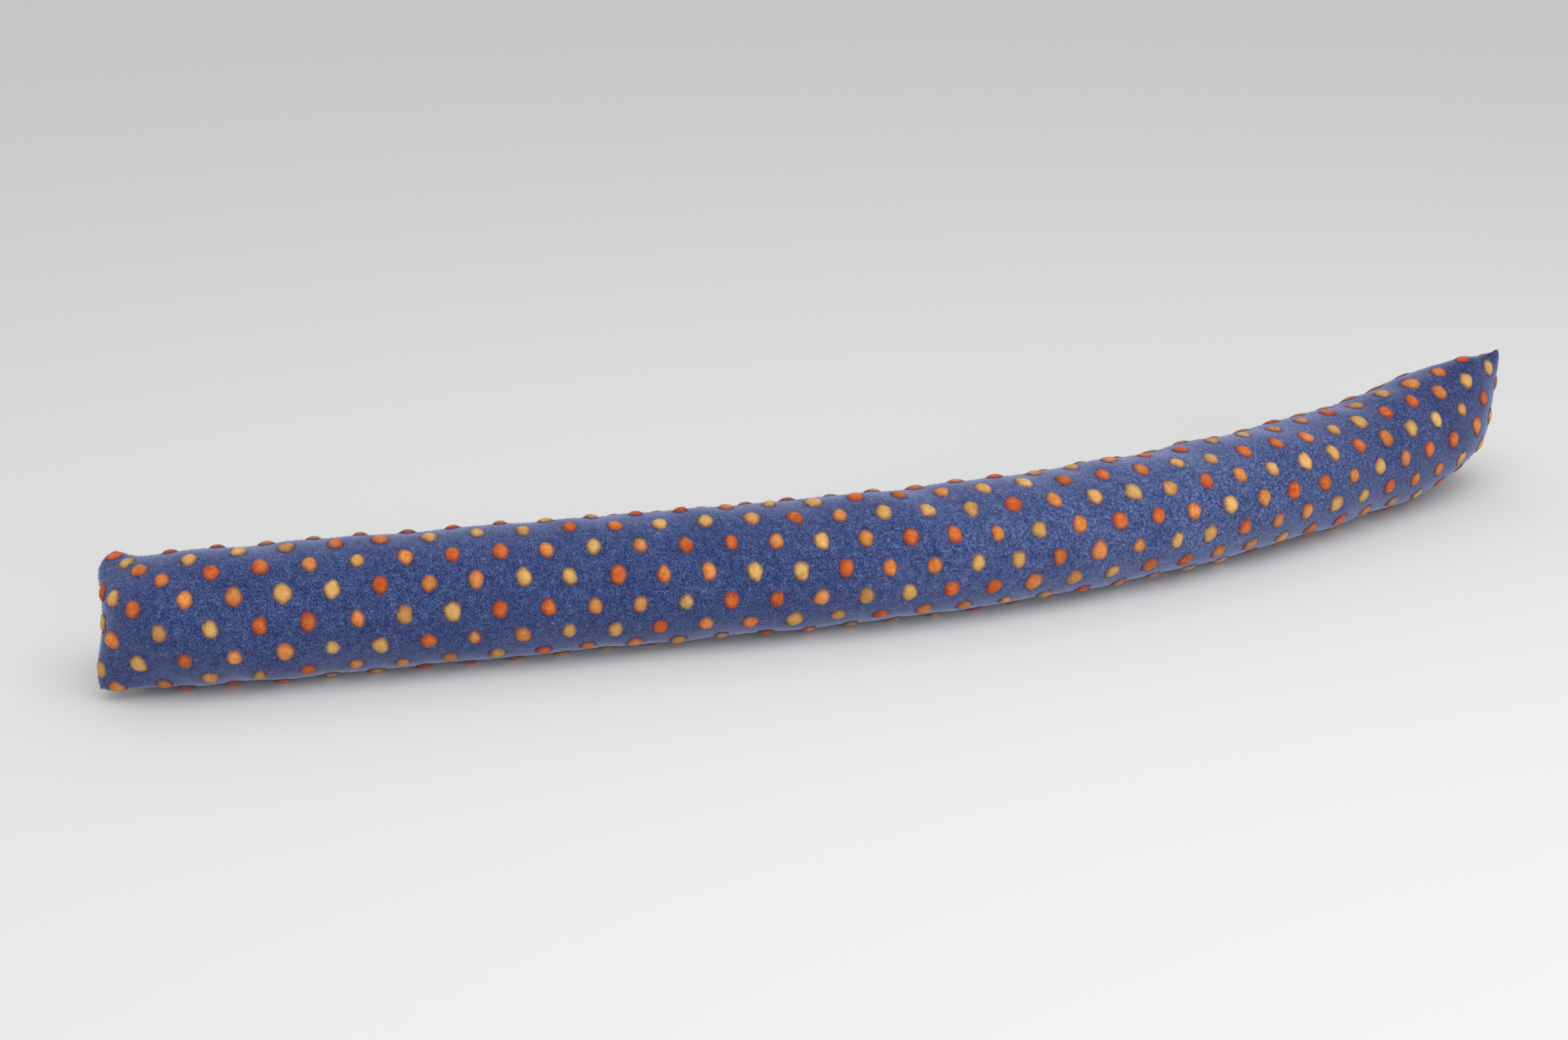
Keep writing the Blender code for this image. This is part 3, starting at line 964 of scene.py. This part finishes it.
def loose_ends(name, place, angle, lying, off, rise, made):
    """Fibres rooted at a height over the cloth, lying along it and lifted off it."""
    count = len(place)
    lift = np.radians(chance.uniform(*made["lift"], count))[:, None]
    long = made["long"][0] + made["long"][1] * chance.uniform(size=count) ** 1.5
    way = (lying * np.cos(lift) + off * np.sin(lift)) * long[:, None]
    root = cloth(place, angle) + off * np.reshape(rise, (-1, 1))
    return spikes(name, root, way, FIBRE_THICK * chance.uniform(*made["thick"], count))


def colour_fibres(fibres, wools, kind):
    """Gives every spike, of four faces, its kind of wool."""
    for wool in wools:
        fibres.data.materials.append(wool)
    fibres.data.polygons.foreach_set("material_index", np.repeat(kind, 4).astype(np.int32))


nap_wools = []
for number, colour in enumerate(NAP_COLOURS):
    nap_wools.append(plain_wool(f"nap_fibre_{number + 1}", colour))
chance = np.random.default_rng(37)
for name, distances, start, inward in (("nap_first_half", first_cloth, 0.0, 1.0),
                                       ("nap_last_half", last_cloth, LENGTH, -1.0)):
    on_cloth = distances.mean(axis=1)
    on_cloth = np.append(on_cloth, on_cloth[-1] + LENGTH / 2 - END_PART)
    spot = chance.uniform(0.0, on_cloth[-1], NAP_FIBRES)
    place = start + inward * np.interp(spot, on_cloth, np.append(end_places, LENGTH / 2))
    angle = chance.uniform(0.0, 2 * np.pi, NAP_FIBRES)
    free = ~on_a_dot(place, angle)
    place, angle = place[free], angle[free]
    count = len(place)
    along, about, off = directions(place, angle)
    slant = np.radians(NAP_SLANT) * rising(place / LENGTH, *NAP_TURNS)
    slant = slant + chance.normal(0.0, NAP_SPREAD, count)
    down = np.where(chance.uniform(size=count) < NAP_DOWN, -1.0, 1.0)
    lying = about * (np.cos(slant) * down)[:, None] + along * (-np.sin(slant) * down)[:, None]
    nap = loose_ends(name, place, angle, lying, off, NAP_ROOT, NAP)
    kind = chance.choice(len(NAP_SHARES), count, p=NAP_SHARES)
    # Painted light: where the cloth faces up, fibres take paler wools.
    for upward in PAINTED_LIGHT_KINDS:
        kind = kind + (off[:, 2] > chance.uniform(*upward, count))
    colour_fibres(nap, nap_wools, np.minimum(kind, len(NAP_COLOURS) - 1))
    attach(nap, "root")

# --- The dots' own loose ends
# Short ends of the dots' orange and yellow wool that felting leaves free.  They are finer
# than the nap, and reach over the blue all round a dot's rim.
DOT_FIBRES = 96  # on each dot
FLUFF_REACH = (0.20, 1.25)  # squares of how far out they grow, in parts of a dot's size
FLUFF = {"lift": (0.0, 35.0), "long": (0.0008, 0.0011), "thick": (0.5, 0.8)}
FLUFF_SPREAD = 0.9  # of their ways from straight outward, in radians
FLUFF_ROOT = 0.0002  # how far a root is under the surface
FLUFF_SHADES = (0.52, 0.78, 1.12)  # dark, middling and pale, in parts of the dots' colour
FLUFF_PALER = (0.45, 0.92)  # chances from which a fibre is middling and pale
fluff_wools = []
for letter in DOT_LETTERS:
    main, mixed = np.array(DOT_COLOURS[letter])
    for number, shade in enumerate(FLUFF_SHADES):
        colour = (*((main * 0.6 + mixed * 0.4)[:3] * shade).tolist(), 1.0)
        fluff_wools.append(plain_wool(f"dot_fibre_{letter}{number + 1}", colour))
chance = np.random.default_rng(41)
fluff_count = dot_count * DOT_FIBRES
owner = np.repeat(np.arange(dot_count), DOT_FIBRES)
reach = np.sqrt(chance.uniform(*FLUFF_REACH, fluff_count))
toward = chance.uniform(0.0, 2 * np.pi, fluff_count)
half_long, half_round = half_sizes(dot_place[owner])
place, angle = walk(dot_place[owner], dot_turn[owner], reach * half_long * np.cos(toward),
                    reach * half_round * np.sin(toward))
along, about, off = directions(place, angle)
rise = dot_rise[owner, 0, 0] * crown(reach) * by_the_seam(place, angle)
sideways = toward + chance.normal(0.0, FLUFF_SPREAD, fluff_count)
lying = along * np.cos(sideways)[:, None] + about * np.sin(sideways)[:, None]
dot_fluff = loose_ends("dot_fluff", place, angle, lying, off, rise - FLUFF_ROOT, FLUFF)
# Painted shade: fibres out towards and past a dot's rim more often take the dark shade; those
# near its middle never do.
pale = chance.uniform(size=fluff_count) + FLUFF_PALER[0] * (1.0 - rising(reach, 0.6, 1.0))
kind = dot_letter[owner] * len(FLUFF_SHADES)
kind = kind + (pale > FLUFF_PALER[0]).astype(int) + (pale > FLUFF_PALER[1])
colour_fibres(dot_fluff, fluff_wools, kind)
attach(dot_fluff, "root")

# --- The floor and the light
# A plain pale floor under a wide overhead softbox, with a soft fill from the front.
FLOOR_SIZE = 9.0
FLOOR_MIDDLE = (0.0, 1.0, 0.0)
FLOOR_COLOUR = (0.70, 0.70, 0.70, 1.0)
floor_points = FLOOR_SIZE / 2 * np.array([[-1, -1, 0], [1, -1, 0], [1, 1, 0], [-1, 1, 0]])
floor = mesh_object("floor", floor_points + np.array(FLOOR_MIDDLE),
                    np.array([[0, 1, 2, 3]]), 4)
floor_paint, floor_wire = new_material("pale_floor")
floor_wire.surface({"Base Color": FLOOR_COLOUR, "Roughness": 0.9, "Specular IOR Level": 0.1})
floor.data.materials.append(floor_paint)


def softbox(name, place, aim, wide, high, watts):
    """A rectangular soft light at a place, turned to face its aim."""
    data = bpy.data.lights.new(name, "AREA")
    data.shape = "RECTANGLE"
    data.size = wide
    data.size_y = high
    data.energy = watts
    light = bpy.data.objects.new(name, data)
    light.location = place
    ahead = np.array(aim, float) - np.array(place, float)
    level = math.hypot(ahead[0], ahead[1])
    light.rotation_euler = (math.atan2(level, -ahead[2]), 0.0,
                            math.atan2(ahead[1], ahead[0]) - math.pi / 2)
    bpy.context.scene.collection.objects.link(light)


softbox("overhead_softbox", (-0.12, -0.65, 1.45), (-0.1, -0.25, 0.0), 2.2, 1.2, 12.2)
softbox("front_fill", (0.45, -1.5, 0.38), (0.2, 0.0, 0.0), 2.0, 0.5, 8.0)
AIR_LIGHT = 0.78
world = bpy.data.worlds.new("studio_air")
world.use_nodes = True
background = world.node_tree.nodes["Background"]
background.inputs["Color"].default_value = WHITE
background.inputs["Strength"].default_value = AIR_LIGHT
bpy.context.scene.world = world
bpy.context.scene.view_settings.view_transform = "Standard"
